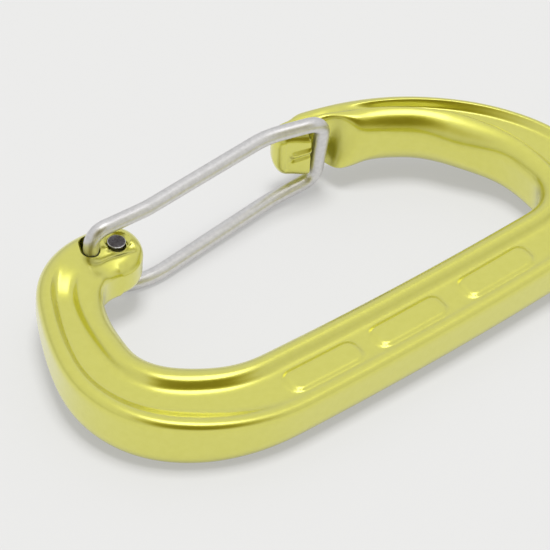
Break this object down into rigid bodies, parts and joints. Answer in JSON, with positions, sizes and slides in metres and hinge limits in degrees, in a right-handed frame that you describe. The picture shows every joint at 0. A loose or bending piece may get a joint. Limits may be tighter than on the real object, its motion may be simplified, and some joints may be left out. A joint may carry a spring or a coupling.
{
  "type": "wire-gate carabiner",
  "caption": "Forged D-shaped carabiner with an I-beam section, a hooked nose and a sprung bent-wire gate that swings inward.",
  "frame": {"origin": "centre of the whole object's box; z = 0 is the body's symmetry plane", "axes": "+X along the spine from the gate hinge to the rope basket, +Y from the spine to the gate, +Z through the thickness"},
  "size_m": [0.089, 0.047, 0.0154],
  "materials": {
    "anodised_lime": "lime green anodised over a tumbled forging, satin gloss",
    "stainless_wire": "drawn stainless spring wire, soft sheen"
  },
  "bodies": {
    "body": {"forged_body": "anodised_lime"},
    "gate": {"wire_gate": "stainless_wire"}
  },
  "joints": [
    {"name": "gate_hinge", "type": "hinge", "parent": "body", "child": "gate", "pos_m": [-0.02384, 0.01792, 0], "axis": [0, 0, -1], "range_deg": [0, 32], "stiffness_Nm_per_rad": 0.15, "springref_deg": -34.38}
  ]
}
